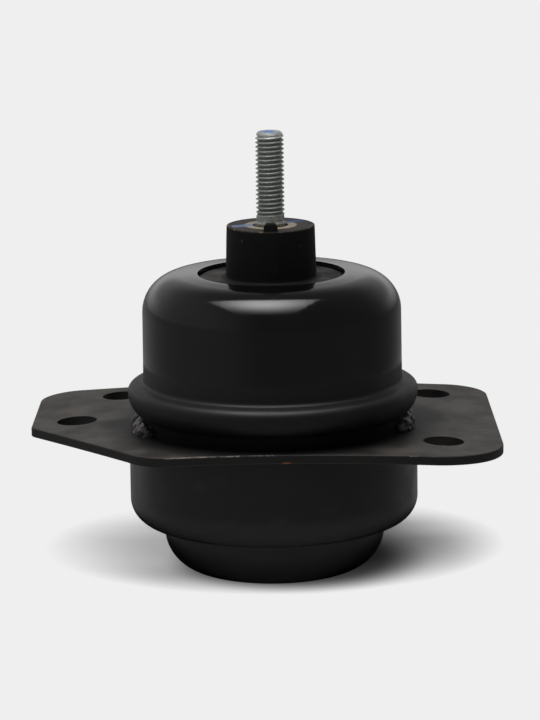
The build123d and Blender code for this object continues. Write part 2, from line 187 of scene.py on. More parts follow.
gleam = add(tree, "ShaderNodeMath", {0: gleam, 1: painted_reflected_shadow}, operation="MULTIPLY").outputs[0]
mirrored = add(tree, "ShaderNodeEmission", {"Strength": gleam}).outputs[0]
both = add(tree, "ShaderNodeMixShader", {
    0: ray.outputs["Is Glossy Ray"], 1: not_glossy, 2: mirrored,
}).outputs[0]
add(tree, "ShaderNodeOutputMaterial", {"Surface": both})
floor_sheet.data.materials.append(material)

# The softbox: its cloth glows most over the lamp and fades towards the frame.
softbox = bpy.data.objects.new("softbox", bpy.data.lights.new("softbox", "AREA"))
softbox.data.shape = "RECTANGLE"
softbox.data.size, softbox.data.size_y = softbox_size
softbox.data.energy = softbox_power
softbox.location = softbox_place
bpy.context.scene.collection.objects.link(softbox)
softbox.data.use_nodes = True
tree = softbox.data.node_tree
tree.nodes.clear()
spot = add(tree, "ShaderNodeNewGeometry").outputs["Position"]
spot = add(tree, "ShaderNodeVectorMath", {0: spot, 1: softbox_middle}, operation="SUBTRACT").outputs[0]
spot = add(tree, "ShaderNodeVectorMath", {0: spot, 1: spot}, operation="DOT_PRODUCT").outputs["Value"]
spot = add(tree, "ShaderNodeMath", {0: spot, 1: -0.5 / softbox_fade}, operation="MULTIPLY").outputs[0]
glow = add(tree, "ShaderNodeMath", {0: spot}, operation="EXPONENT").outputs[0]
glow = add(tree, "ShaderNodeEmission", {"Strength": glow}).outputs[0]
add(tree, "ShaderNodeOutputLight", {"Surface": glow})

# The room that the paint mirrors: dim in front, lighter behind and to the left, with a low bright window
# behind the table. The camera itself sees the plain backdrop.
world = bpy.data.worlds.new("room")
bpy.context.scene.world = world
world.use_nodes = True
tree = world.node_tree
tree.nodes.clear()
way = add(tree, "ShaderNodeTexCoord").outputs["Generated"]
parts = add(tree, "ShaderNodeSeparateXYZ", {0: way})
behind = add(tree, "ShaderNodeMapRange", {
    "Value": parts.outputs["Y"], "From Min": 0.2, "From Max": 0.95, "To Max": room_back,
}, interpolation_type="SMOOTHSTEP").outputs[0]
low = add(tree, "ShaderNodeMapRange", {
    "Value": parts.outputs["Z"], "From Min": 0.35, "From Max": 0.8, "To Min": 1.0, "To Max": 0.1,
}, interpolation_type="SMOOTHSTEP").outputs[0]
behind_low = add(tree, "ShaderNodeMath", {0: behind, 1: low}, operation="MULTIPLY").outputs[0]
horizon = add(tree, "ShaderNodeMapRange", {
    "Value": parts.outputs["Z"], "From Min": horizon_low, "From Max": horizon_high, "To Min": 0.2,
}, interpolation_type="SMOOTHSTEP").outputs[0]
behind_low = add(tree, "ShaderNodeMath", {0: behind_low, 1: horizon}, operation="MULTIPLY").outputs[0]
left = add(tree, "ShaderNodeMapRange", {
    "Value": parts.outputs["X"], "From Min": -0.1, "From Max": -0.9, "To Max": room_left,
}, interpolation_type="SMOOTHSTEP").outputs[0]
window = add(tree, "ShaderNodeMapRange", {
    "Value": parts.outputs["Z"], "From Min": window_low, "From Max": window_high,
    "To Min": room_window, "To Max": 0.0,
}, interpolation_type="SMOOTHSTEP").outputs[0]
window = add(tree, "ShaderNodeMath", {0: window, 1: horizon}, operation="MULTIPLY").outputs[0]
window_side = add(tree, "ShaderNodeMapRange", {
    "Value": parts.outputs["Y"], "From Min": 0.5, "From Max": 0.95,
}, interpolation_type="SMOOTHSTEP").outputs[0]
behind_low = add(tree, "ShaderNodeMath", {
    0: window, 1: window_side, 2: behind_low,
}, operation="MULTIPLY_ADD").outputs[0]
sides = add(tree, "ShaderNodeMath", {0: behind_low, 1: left}, operation="ADD").outputs[0]
room = add(tree, "ShaderNodeMath", {0: sides, 1: room_front}, operation="ADD").outputs[0]
ray = add(tree, "ShaderNodeLightPath").outputs["Is Camera Ray"]
shade = add(tree, "ShaderNodeMix", {0: ray, 6: room, 7: colour(backdrop)}, data_type="RGBA").outputs[2]
air = add(tree, "ShaderNodeBackground", {"Color": shade}).outputs[0]
add(tree, "ShaderNodeOutputWorld", {"Surface": air})


# The stud. A headed M10 x 1.5 stud of rolled steel, pressed into the core from above, with a zinc
# flake coat. Its thread runs out into a plain collar, which flares into the core's recess.
core_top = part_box("inner_core")[1].z
stud_low, stud_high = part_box("stud")
thread_pitch = 1.5 * mm
thread_r = 4.9 * mm
root_r = 4.0 * mm
collar_r = 4.8 * mm
thread_foot = core_top + 2.3 * mm
runout_end = core_top + 5.2 * mm
thread_turns = 23
thread_steps = 56
flank_round = 0.09 * mm
tip_r = 3.85 * mm
tip_groove_r = 4.55 * mm
flare_r = 5.45 * mm
flare_grain = 0.7 * mm
flare_grain_depth = 0.2 * mm


def smooth(value, low, high):
    """0 below low, 1 above high, and an even curve between."""
    t = min(1.0, max(0.0, (value - low) / (high - low)))
    return t * t * (3 - 2 * t)


def draw_chain(name, points):
    """Starts a mesh from a single point and extrudes it along the others as a chain of edges."""
    bpy.ops.object.select_all(action="DESELECT")
    bpy.ops.mesh.primitive_plane_add(size=mm)
    piece = bpy.context.object
    piece.name = name
    bpy.ops.object.mode_set(mode="EDIT")
    bpy.ops.mesh.select_all(action="SELECT")
    bpy.ops.mesh.merge(type="CENTER")
    bpy.ops.transform.translate(value=points[0])
    for last, point in zip(points, points[1:]):
        step = [b - a for a, b in zip(last, point)]
        bpy.ops.mesh.extrude_region_move(TRANSFORM_OT_translate={"value": step})
    return piece


def spin_round(steps):
    """Turns the chain in edit mode once round the stud's axis and closes the seam."""
    bpy.ops.mesh.select_all(action="SELECT")
    bpy.ops.mesh.spin(steps=steps, angle=2 * pi, center=(0, 0, 0), axis=(0, 0, 1))
    bpy.ops.mesh.select_all(action="SELECT")
    bpy.ops.mesh.remove_doubles(threshold=0.01 * mm)
    bpy.ops.mesh.normals_make_consistent(inside=False)


def smooth_shade(piece, angle):
    """Smooth shading with the sharp edges kept."""
    bpy.ops.object.mode_set(mode="OBJECT")
    bpy.ops.object.select_all(action="DESELECT")
    piece.select_set(True)
    bpy.context.view_layer.objects.active = piece
    bpy.ops.object.shade_smooth_by_angle(angle=radians(angle))


one_pitch = [(0.0, root_r), (0.05, root_r), (0.15, root_r + flank_round), (0.43, thread_r - flank_round),
             (0.49, thread_r), (0.54, thread_r), (0.60, thread_r - flank_round), (0.88, root_r + flank_round),
             (1.0, root_r)]
thread_start = thread_foot - 1.5 * thread_pitch
stud = draw_chain("threaded_stud", [(r, 0, thread_start + share * thread_pitch) for share, r in one_pitch])
bpy.ops.object.mode_set(mode="OBJECT")
screw = stud.modifiers.new("thread", "SCREW")
screw.screw_offset = thread_pitch
screw.iterations = thread_turns
screw.steps = thread_steps
screw.render_steps = thread_steps
bpy.ops.object.modifier_apply(modifier="thread")
tip_profile = [(-2.0, tip_r), (0.0, tip_r), (0.2, 4.1 * mm), (0.6, 4.4 * mm), (1.1, 4.75 * mm),
               (1.7, thread_r)]
for vertex in stud.data.vertices:
    x, y, z = vertex.co
    r = hypot(x, y)
    below_tip = (stud_high.z - z) / mm
    r += (tip_groove_r - r) * (1 - smooth(below_tip, 0.8, 1.7))
    r += (collar_r - r) * (1 - smooth(z, thread_foot + 0.3 * mm, runout_end))
    for (d0, r0), (d1, r1) in zip(tip_profile, tip_profile[1:]):
        if d0 <= below_tip < d1:
            r = min(r, r0 + (r1 - r0) * (below_tip - d0) / (d1 - d0))
    turn = atan2(y, x)
    vertex.co = (r * cos(turn), r * sin(turn), z)
bpy.ops.object.mode_set(mode="EDIT")
bpy.ops.mesh.select_all(action="SELECT")
bpy.ops.mesh.remove_doubles(threshold=0.002 * mm)
foot_steps = [(1.0, -0.5 * mm), (1.004, -0.4 * mm), (1.05, -0.3 * mm), (1.03, -0.35 * mm),
              (1.01, -0.35 * mm), (1.01, -0.4 * mm), (1.01, -0.9 * mm), (1.02, 0.0)]
foot_steps.append((1.0, stud_low.z - thread_foot - sum(drop for _, drop in foot_steps)))
for height, down, steps in ((stud_high.z, -1, [(0.97, 0.0), (0.6, 0.0)]), (thread_foot, 1, foot_steps)):
    bpy.ops.mesh.select_all(action="SELECT")
    bpy.ops.mesh.bisect(plane_co=(0, 0, height), plane_no=(0, 0, down), clear_inner=True,
                        threshold=0.0001 * mm)
    for scale, drop in steps:
        bpy.ops.mesh.extrude_region_move(TRANSFORM_OT_translate={"value": (0, 0, drop)})
        bpy.ops.transform.resize(value=(scale, scale, 1), center_override=(0, 0, 0))
    bpy.ops.mesh.edge_face_add()
bpy.ops.mesh.select_all(action="SELECT")
bpy.ops.mesh.normals_make_consistent(inside=False)
bpy.ops.object.mode_set(mode="OBJECT")
for vertex in stud.data.vertices:
    x, y, z = vertex.co
    rough = smooth(z, core_top - 1.4 * mm, core_top - 0.6 * mm)
    rough *= 1 - smooth(z, core_top + 1.0 * mm, core_top + 1.5 * mm)
    if rough > 0 and hypot(x, y) > root_r:
        grain = noise.noise(Vector((x, y, z)) / flare_grain) * flare_grain_depth * rough
        turn = atan2(y, x)
        r = min(flare_r, hypot(x, y) + grain)
        vertex.co = (r * cos(turn), r * sin(turn), z)
smooth_shade(stud, 40)
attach(stud, "root")
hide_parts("stud")


def new_material(name):
    """An empty material with its shader, and the place of each point on the piece, in metres."""
    material = bpy.data.materials.new(name)
    material.use_nodes = True
    tree = material.node_tree
    return material, tree, tree.nodes["Principled BSDF"], add(tree, "ShaderNodeTexCoord").outputs["Object"]


# Zinc flake coat on rolled steel: dull grey with a green cast, darker in the thread roots as painted shade,
# with a painted highlight on the tip's chamfer and a dab of blue paint on the tip.
material, tree, shader, place = new_material("zinc flake coat on rolled steel")
flat = add(tree, "ShaderNodeVectorMath", {0: place, 1: (1, 1, 0)}, operation="MULTIPLY").outputs[0]
radius = add(tree, "ShaderNodeVectorMath", {0: flat}, operation="LENGTH").outputs["Value"]
height = add(tree, "ShaderNodeSeparateXYZ", {0: place}).outputs["Z"]
flakes = add(tree, "ShaderNodeTexNoise", {
    "Vector": place, "Scale": 1 / (1.2 * mm), "Detail": 5.0,
}).outputs["Fac"]
# Painted shade: the coat darkens from the crests down into the thread roots.
root_shade_mask = add(tree, "ShaderNodeMapRange", {
    "Value": radius, "From Min": 4.15 * mm, "From Max": 4.95 * mm,
}).outputs[0]
coat = add(tree, "ShaderNodeMix", {
    0: root_shade_mask, 6: colour("787C76"), 7: colour("A8ADA8"),
}, data_type="RGBA").outputs[2]
sandy = add(tree, "ShaderNodeMapRange", {
    "Value": height, "From Min": core_top + 0.6 * mm, "From Max": core_top + 1.2 * mm,
    "To Min": 0.8, "To Max": 0.0,
}).outputs[0]
coat = add(tree, "ShaderNodeMix", {0: sandy, 6: coat, 7: colour("6F6852")}, data_type="RGBA").outputs[2]
# A painted highlight: the coat lightens towards the tip, on the chamfer that faces the light.
painted_tip_highlight = add(tree, "ShaderNodeMapRange", {
    "Value": height, "From Min": stud_high.z - 2.4 * mm, "From Max": stud_high.z - 1.4 * mm, "To Max": 0.42,
}).outputs[0]
coat = add(tree, "ShaderNodeMix", {0: painted_tip_highlight, 6: coat, 7: colour("D8DBD9")}, data_type="RGBA").outputs[2]
worn = add(tree, "ShaderNodeMapRange", {
    "Value": flakes, "From Min": 0.35, "From Max": 0.7, "To Min": 0.75, "To Max": 1.1,
}).outputs[0]
coat = add(tree, "ShaderNodeVectorMath", {0: coat, 1: worn}, operation="MULTIPLY").outputs[0]
dab_place = (-0.4 * mm, -0.2 * mm, stud_high.z)
dab_reach = add(tree, "ShaderNodeVectorMath", {0: place, 1: dab_place}, operation="DISTANCE").outputs["Value"]
dab = add(tree, "ShaderNodeMapRange", {
    "Value": dab_reach, "From Min": 2.0 * mm, "From Max": 2.9 * mm, "To Min": 0.85, "To Max": 0.0,
}).outputs[0]
coat = add(tree, "ShaderNodeMix", {0: dab, 6: coat, 7: colour("2F78CC")}, data_type="RGBA").outputs[2]
tree.links.new(coat, shader.inputs["Base Color"])
shader.inputs["Metallic"].default_value = 0.3
shader.inputs["Roughness"].default_value = 0.42
bump = add(tree, "ShaderNodeBump", {"Height": flakes, "Strength": 0.25, "Distance": 0.05 * mm}).outputs[0]
tree.links.new(bump, shader.inputs["Normal"])
stud.data.materials.clear()
stud.data.materials.append(material)


# The boss: the steel core's own top face shows as a bare ring round the recess, stained and with a
# thin film of rubber towards its rim, and a stripe of blue inspection paint runs over it.
material, tree, shader, place = new_material("turned steel, stained, with rubber film and paint stripe")
flat = add(tree, "ShaderNodeVectorMath", {0: place, 1: (1, 1, 0)}, operation="MULTIPLY").outputs[0]
radius = add(tree, "ShaderNodeVectorMath", {0: flat}, operation="LENGTH").outputs["Value"]
parts = add(tree, "ShaderNodeSeparateXYZ", {0: place})
stain = add(tree, "ShaderNodeTexNoise", {"Vector": place, "Scale": 1 / (3 * mm), "Detail": 6.0}).outputs["Fac"]
ragged = add(tree, "ShaderNodeMath", {0: stain, 1: 1.6 * mm}, operation="MULTIPLY").outputs[0]
edge = add(tree, "ShaderNodeMath", {0: radius, 1: ragged}, operation="ADD").outputs[0]
film = add(tree, "ShaderNodeMapRange", {"Value": edge, "From Min": 9.5 * mm, "From Max": 10.1 * mm}).outputs[0]
bare = add(tree, "ShaderNodeMix", {
    0: stain, 6: colour("7E705F"), 7: colour("B5AB9B"),
}, data_type="RGBA").outputs[2]
dark = add(tree, "ShaderNodeMix", {
    0: stain, 6: colour("26221F"), 7: colour("38332F"),
}, data_type="RGBA").outputs[2]
face = add(tree, "ShaderNodeMix", {0: film, 6: bare, 7: dark}, data_type="RGBA").outputs[2]
across = add(tree, "ShaderNodeVectorMath", {
    0: place, 1: (-0.399, 0.917, 0),
}, operation="DOT_PRODUCT").outputs["Value"]
across = add(tree, "ShaderNodeMath", {0: across, 1: -2.75 * mm}, operation="ADD").outputs[0]
across = add(tree, "ShaderNodeMath", {0: across}, operation="ABSOLUTE").outputs[0]
across = add(tree, "ShaderNodeMath", {0: stain, 1: 1.5 * mm, 2: across}, operation="MULTIPLY_ADD").outputs[0]
stripe = add(tree, "ShaderNodeMapRange", {
    "Value": across, "From Min": 2.4 * mm, "From Max": 3.2 * mm, "To Min": 0.8, "To Max": 0.0,
}).outputs[0]
to_right = add(tree, "ShaderNodeMapRange", {
    "Value": parts.outputs["X"], "From Min": -3 * mm, "From Max": 5 * mm,
}).outputs[0]
paint = add(tree, "ShaderNodeMix", {
    0: to_right, 6: colour("66799A"), 7: colour("35467F"),
}, data_type="RGBA").outputs[2]
face = add(tree, "ShaderNodeMix", {0: stripe, 6: face, 7: paint}, data_type="RGBA").outputs[2]
in_recess = add(tree, "ShaderNodeMapRange", {
    "Value": parts.outputs["Z"], "From Min": core_top - 0.25 * mm, "From Max": core_top - 0.1 * mm,
    "To Min": 1.0, "To Max": 0.0,
}).outputs[0]
rusty = add(tree, "ShaderNodeMapRange", {
    "Value": parts.outputs["X"], "From Min": -5 * mm, "From Max": 3 * mm, "To Min": 1.0, "To Max": 0.1,
}).outputs[0]
rust = add(tree, "ShaderNodeMix", {
    0: rusty, 6: colour("241812"), 7: colour("6B4530"),
}, data_type="RGBA").outputs[2]
face = add(tree, "ShaderNodeMix", {0: in_recess, 6: face, 7: rust}, data_type="RGBA").outputs[2]
tree.links.new(face, shader.inputs["Base Color"])
shader.inputs["Metallic"].default_value = 0.15
shader.inputs["Roughness"].default_value = 0.6
shader.inputs["Specular IOR Level"].default_value = 0.3
bump = add(tree, "ShaderNodeBump", {"Height": stain, "Strength": 0.3, "Distance": 0.15 * mm}).outputs[0]
tree.links.new(bump, shader.inputs["Normal"])
nodes["inner_core"].material_slots[0].material = material


# The rubber skin: black natural rubber moulded round the core, with the stop pad below it under the
# can's roof, and a locating tab with two cut corners that stands on the front rim.
can_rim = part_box("upper_can")[1].z
core_r = 13.5 * mm
boss_r = 15.15 * mm
boss_foot_r = 15.6 * mm
step_top = can_rim - 1.3 * mm
pad_top = can_rim - 2.9 * mm
step_r = 24.6 * mm
pad_r = 34.0 * mm
pad_bore_r = 28.0 * mm
pad_pocket_r = 31.5 * mm
pocket_top = pad_top - 4.5 * mm
pad_foot = pad_top - 8.7 * mm
pocket_foot = pad_foot + 1.2 * mm
skin_edge = core_top - 0.02 * mm
skin_steps = 120
wave_size = 6 * mm
wave_depth = 0.07 * mm
skin = draw_chain("rubber_skin", [(r, 0, z) for r, z in (
    (core_r, skin_edge), (core_r + 0.1 * mm, core_top), (boss_r - 0.35 * mm, core_top),
    (boss_r - 0.12 * mm, core_top - 0.06 * mm), (boss_r - 0.02 * mm, core_top - 0.2 * mm),
    (boss_r, core_top - 0.5 * mm), (boss_r + 0.11 * mm, core_top - 4.5 * mm),
    (boss_r + 0.22 * mm, core_top - 8.5 * mm), (boss_r + 0.33 * mm, core_top - 12.5 * mm),
    (boss_foot_r - 0.05 * mm, step_top + 1.2 * mm), (boss_foot_r, step_top + 0.5 * mm),
    (boss_foot_r + 0.08 * mm, step_top + 0.25 * mm), (boss_foot_r + 0.25 * mm, step_top + 0.07 * mm),
    (boss_foot_r + 0.55 * mm, step_top), (18.5 * mm, step_top), (20.0 * mm, step_top), (21.5 * mm, step_top),
    (23.0 * mm, step_top), (step_r - 0.3 * mm, step_top), (step_r - 0.08 * mm, step_top - 0.1 * mm),
    (step_r, step_top - 0.35 * mm), (step_r, pad_top + 0.2 * mm), (step_r + 0.3 * mm, pad_top),
    (pad_r - 2.0 * mm, pad_top), (pad_r - 0.6 * mm, pad_top - 0.6 * mm), (pad_r, pad_top - 2.0 * mm),
    (pad_r, pad_foot + 0.6 * mm), (pad_r - 0.6 * mm, pad_foot), (pad_bore_r, pad_foot),
    (pad_bore_r, pocket_foot), (pad_pocket_r, pocket_foot), (pad_pocket_r, pocket_top),
    (core_r, pocket_top), (core_r, skin_edge))])
spin_round(skin_steps)
bpy.ops.object.mode_set(mode="OBJECT")
for vertex in skin.data.vertices:
    x, y, z = vertex.co
    r = hypot(x, y)
    if z > step_top - 0.1 * mm and r > core_r + 0.2 * mm:
        turn = atan2(y, x)
        wave = noise.noise(Vector((x, y, z)) / wave_size) * wave_depth
        if r > boss_foot_r + 0.5 * mm:
            vertex.co.z = min(step_top, z - abs(wave) * 2)
        else:
            r = min(r, r + wave) if z < core_top - 0.3 * mm else r - abs(wave)
            vertex.co = (r * cos(turn), r * sin(turn), z)

bpy.ops.object.select_all(action="DESELECT")
tab_width = 4.8 * mm
tab_depth = 2.9 * mm
tab_height = 2.75 * mm
tab_foot = 1.2 * mm
tab_y = tab_depth / 2 - boss_r + 0.25 * mm
tab_cut = 0.9 * mm
tab_round = 0.16 * mm
bpy.ops.mesh.primitive_cube_add(size=1, location=(0, tab_y, core_top + (tab_height - tab_foot) / 2))
tab = bpy.context.object
tab.name = "locating_tab"
tab.scale = (tab_width, tab_depth, tab_height + tab_foot)
bpy.ops.object.transform_apply(location=True, rotation=True, scale=True)
bpy.ops.object.mode_set(mode="EDIT")
bpy.ops.mesh.select_mode(type="EDGE")
bpy.ops.mesh.select_all(action="DESELECT")
bpy.ops.object.mode_set(mode="OBJECT")
for edge in tab.data.edges:
    ends = [tab.data.vertices[i].co for i in edge.vertices]
    edge.select = all(e.z > core_top + 2 * mm for e in ends) and abs(ends[0].x - ends[1].x) < 0.01 * mm
bpy.ops.object.mode_set(mode="EDIT")
bpy.ops.mesh.bevel(offset=tab_cut, segments=1, affect="EDGES")
bpy.ops.mesh.select_all(action="SELECT")
bpy.ops.mesh.bevel(offset=tab_round, segments=2, affect="EDGES")
bpy.ops.object.mode_set(mode="OBJECT")
join = skin.modifiers.new("tab", "BOOLEAN")
join.operation = "UNION"
join.object = tab
join.solver = "EXACT"
bpy.ops.object.select_all(action="DESELECT")
skin.select_set(True)
bpy.context.view_layer.objects.active = skin
bpy.ops.object.modifier_apply(modifier="tab")
bpy.data.objects.remove(tab)
smooth_shade(skin, 35)
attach(skin, "root")
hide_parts("stop_rubber")

# Moulded natural rubber: black and dull, with pale dust and bloom, partly a painted sheen, on what lies flat,
# left dark as painted shade in front of the boss and round its foot, and a brown worn rim round the boss.
material, tree, shader, place = new_material("moulded natural rubber, dusty, with painted sheen and shade")
flat = add(tree, "ShaderNodeVectorMath", {0: place, 1: (1, 1, 0)}, operation="MULTIPLY").outputs[0]
radius = add(tree, "ShaderNodeVectorMath", {0: flat}, operation="LENGTH").outputs["Value"]
parts = add(tree, "ShaderNodeSeparateXYZ", {0: place})
facing = add(tree, "ShaderNodeNewGeometry").outputs["Normal"]
facing = add(tree, "ShaderNodeSeparateXYZ", {0: facing}).outputs["Z"]
patches = add(tree, "ShaderNodeTexNoise", {
    "Vector": place, "Scale": 1 / (7 * mm), "Detail": 6.0,
}).outputs["Fac"]
grain = add(tree, "ShaderNodeTexNoise", {
    "Vector": place, "Scale": 1 / (0.8 * mm), "Detail": 3.0,
}).outputs["Fac"]
lying = add(tree, "ShaderNodeMapRange", {"Value": facing, "From Min": 0.5, "From Max": 0.9}).outputs[0]
below = add(tree, "ShaderNodeMapRange", {
    "Value": parts.outputs["Z"], "From Min": core_top - 3 * mm, "From Max": core_top - 8 * mm,
}).outputs[0]
# Dust and a painted sheen: pale patches on what lies flat.
dust_and_sheen = add(tree, "ShaderNodeMapRange", {
    "Value": patches, "From Min": 0.4, "From Max": 0.62, "To Min": 0.1, "To Max": 1.0,
}).outputs[0]
dust_and_sheen = add(tree, "ShaderNodeMath", {0: dust_and_sheen, 1: lying}, operation="MULTIPLY").outputs[0]
low_dust_and_sheen = add(tree, "ShaderNodeMath", {0: dust_and_sheen, 1: below}, operation="MULTIPLY").outputs[0]
# Painted shade: the dust and sheen are left out in front of the boss and round its foot, where the boss shades
# the pad.
painted_boss_shade = add(tree, "ShaderNodeMapRange", {
    "Value": parts.outputs["Y"], "From Min": -15 * mm, "From Max": -7 * mm,
}).outputs[0]
clear = add(tree, "ShaderNodeMapRange", {
    "Value": radius, "From Min": 16.9 * mm, "From Max": 17.7 * mm,
}).outputs[0]
painted_boss_shade = add(tree, "ShaderNodeMath", {0: painted_boss_shade, 1: clear}, operation="MULTIPLY").outputs[0]
low_dust_and_sheen = add(tree, "ShaderNodeMath", {0: low_dust_and_sheen, 1: painted_boss_shade}, operation="MULTIPLY").outputs[0]
rim = add(tree, "ShaderNodeMapRange", {
    "Value": parts.outputs["Z"], "From Min": core_top - 0.5 * mm, "From Max": core_top - 0.05 * mm,
}).outputs[0]
not_tab = add(tree, "ShaderNodeMapRange", {
    "Value": parts.outputs["Z"], "From Min": core_top + 0.1 * mm, "From Max": core_top + 0.3 * mm,
    "To Min": 1.0, "To Max": 0.0,
}).outputs[0]
rim = add(tree, "ShaderNodeMath", {0: rim, 1: not_tab}, operation="MULTIPLY").outputs[0]
flecks = add(tree, "ShaderNodeTexNoise", {
    "Vector": place, "Scale": 1 / (1.5 * mm), "Detail": 2.0,
}).outputs["Fac"]
chalky = add(tree, "ShaderNodeMapRange", {"Value": flecks, "From Min": 0.6, "From Max": 0.7}).outputs[0]
speck = add(tree, "ShaderNodeMapRange", {"Value": flecks, "From Min": 0.74, "From Max": 0.78}).outputs[0]
worn_rim = add(tree, "ShaderNodeMix", {
    0: chalky, 6: colour("2C2622"), 7: colour("6E645A"),
}, data_type="RGBA").outputs[2]
rubber = add(tree, "ShaderNodeMix", {
    0: patches, 6: colour("080707"), 7: colour("100E0D"),
}, data_type="RGBA").outputs[2]
rubber = add(tree, "ShaderNodeMix", {0: low_dust_and_sheen, 6: rubber, 7: colour("3E3C3A")}, data_type="RGBA").outputs[2]
rubber = add(tree, "ShaderNodeMix", {0: speck, 6: rubber, 7: colour("4C4843")}, data_type="RGBA").outputs[2]
rubber = add(tree, "ShaderNodeMix", {0: rim, 6: rubber, 7: worn_rim}, data_type="RGBA").outputs[2]
tree.links.new(rubber, shader.inputs["Base Color"])
shader.inputs["Roughness"].default_value = 0.65
shader.inputs["Specular IOR Level"].default_value = 0.2
bump = add(tree, "ShaderNodeBump", {"Height": grain, "Strength": 0.3, "Distance": 0.08 * mm}).outputs[0]
tree.links.new(bump, shader.inputs["Normal"])
skin.data.materials.clear()
skin.data.materials.append(material)


# The upper can and its collar: deep-drawn sheet steel, dipped in black paint and baked, so that it
# shines evenly with a faint waviness. The bead at its foot is curled under the collar's flange, and
# there the paint lies over drawing marks and shines less.
bead_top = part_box("base_collar")[1].z + 12.5 * mm
roof_crown = 0.4 * mm
crown_start, crown_end = 25.5 * mm, 36 * mm
material, tree, shader, place = new_material("baked black dip paint on drawn steel")
parts = add(tree, "ShaderNodeSeparateXYZ", {0: place})
runs = add(tree, "ShaderNodeTexNoise", {"Vector": place, "Scale": 1 / (9 * mm), "Detail": 3.0}).outputs["Fac"]
peel = add(tree, "ShaderNodeTexNoise", {"Vector": place, "Scale": 1 / (1.1 * mm), "Detail": 2.0}).outputs["Fac"]
paint = add(tree, "ShaderNodeMix", {
    0: runs, 6: colour("050506"), 7: colour("0A0A0B"),
}, data_type="RGBA").outputs[2]
tree.links.new(paint, shader.inputs["Base Color"])
on_bead = add(tree, "ShaderNodeMapRange", {
    "Value": parts.outputs["Z"], "From Min": bead_top + 2 * mm, "From Max": bead_top,
}).outputs[0]
gloss = add(tree, "ShaderNodeMapRange", {
    "Value": runs, "From Min": 0.3, "From Max": 0.7, "To Min": 0.09, "To Max": 0.14,
}).outputs[0]
gloss = add(tree, "ShaderNodeMath", {0: on_bead, 1: 0.4, 2: gloss}, operation="MULTIPLY_ADD").outputs[0]
tree.links.new(gloss, shader.inputs["Roughness"])
flat = add(tree, "ShaderNodeVectorMath", {0: place, 1: (1, 1, 0)}, operation="MULTIPLY").outputs[0]
radius = add(tree, "ShaderNodeVectorMath", {0: flat}, operation="LENGTH").outputs["Value"]
crown = add(tree, "ShaderNodeMapRange", {
    "Value": radius, "From Min": crown_start, "From Max": crown_end, "To Max": -roof_crown,
}, interpolation_type="SMOOTHSTEP").outputs[0]
domed = add(tree, "ShaderNodeBump", {"Height": crown, "Strength": 1.0, "Distance": 1.0}).outputs[0]
wavy = add(tree, "ShaderNodeBump", {
    "Height": runs, "Strength": 0.3, "Distance": 0.12 * mm, "Normal": domed,
}).outputs[0]
bump = add(tree, "ShaderNodeBump", {
    "Height": peel, "Strength": 0.15, "Distance": 0.02 * mm, "Normal": wavy,
}).outputs[0]
tree.links.new(bump, shader.inputs["Normal"])
nodes["upper_can"].material_slots[0].material = material

# The collar wears the same paint, dulled all round by soot from the welding and painted near black as the shade
# under the bead.
material, tree, shader, place = new_material("black dip paint, sooty, in painted shade")
# Soot and painted shade: a near-black tone that varies over the collar.
soot_and_shade = add(tree, "ShaderNodeTexNoise", {"Vector": place, "Scale": 1 / (4 * mm), "Detail": 5.0}).outputs["Fac"]
paint = add(tree, "ShaderNodeMix", {
    0: soot_and_shade, 6: colour("030303"), 7: colour("070607"),
}, data_type="RGBA").outputs[2]
tree.links.new(paint, shader.inputs["Base Color"])
gloss = add(tree, "ShaderNodeMapRange", {
    "Value": soot_and_shade, "From Min": 0.3, "From Max": 0.7, "To Min": 0.35, "To Max": 0.6,
}).outputs[0]
tree.links.new(gloss, shader.inputs["Roughness"])
shader.inputs["Specular IOR Level"].default_value = 0.12
bump = add(tree, "ShaderNodeBump", {"Height": soot_and_shade, "Strength": 0.15, "Distance": 0.05 * mm}).outputs[0]
tree.links.new(bump, shader.inputs["Normal"])
nodes["base_collar"].material_slots[0].material = material


# The weld beads: two short runs of wire weld in the corner between collar and plate, laid in
# overlapping pools and left rough, with soot on the plate round them.
weld_circle_r = 45.2 * mm
weld_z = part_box("flange_plate")[1].z
bead_steps = 44
bead_sides = 18
end_share = 0.72
end_fall = 11
pool_rise = 0.10
dent_depth = 0.42
dent_size = 3.4 * mm
crumple_depth = 0.55 * mm
crumple_size = 1.9 * mm


